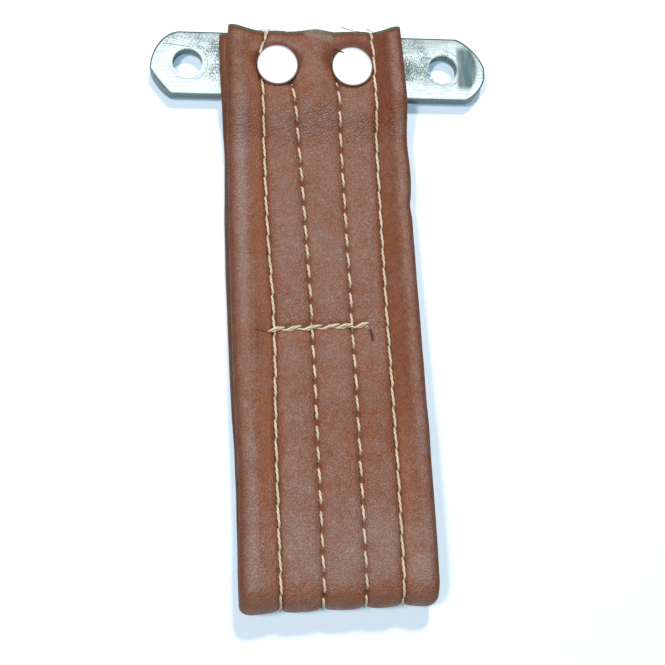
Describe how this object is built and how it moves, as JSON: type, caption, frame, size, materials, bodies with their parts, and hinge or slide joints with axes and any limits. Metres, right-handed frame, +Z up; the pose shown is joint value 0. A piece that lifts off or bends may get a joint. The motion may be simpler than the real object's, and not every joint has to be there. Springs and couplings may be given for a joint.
{
  "type": "vinyl door pull strap",
  "caption": "Tan padded vinyl strap folded into a loop, riveted to a zinc plated steel bar with a screw hole at each end, with cream stitching and a bar tack.",
  "frame": {"origin": "centre of the bounding box's footprint, on the table that the strap lies on", "axes": "+Y from the fold to the steel plate, +Z up out of the strap's front, +X to the right"},
  "size_m": [0.081, 0.1356, 0.0126],
  "materials": {
    "tan_vinyl": "semi-matt grained vinyl over padding",
    "zinc_plated_steel": "bright zinc plate, lightly scuffed",
    "bright_rivet": "bright plated",
    "cream_thread": "twisted heavy thread"
  },
  "bodies": {
    "root": {"strap": "tan_vinyl", "backing_plate": "zinc_plated_steel", "rivet_left": "bright_rivet", "rivet_right": "bright_rivet", "seam_thread_1": "cream_thread", "seam_thread_2": "cream_thread", "seam_thread_3": "cream_thread", "seam_thread_4": "cream_thread", "bar_tack": "cream_thread"}
  },
  "joints": []
}
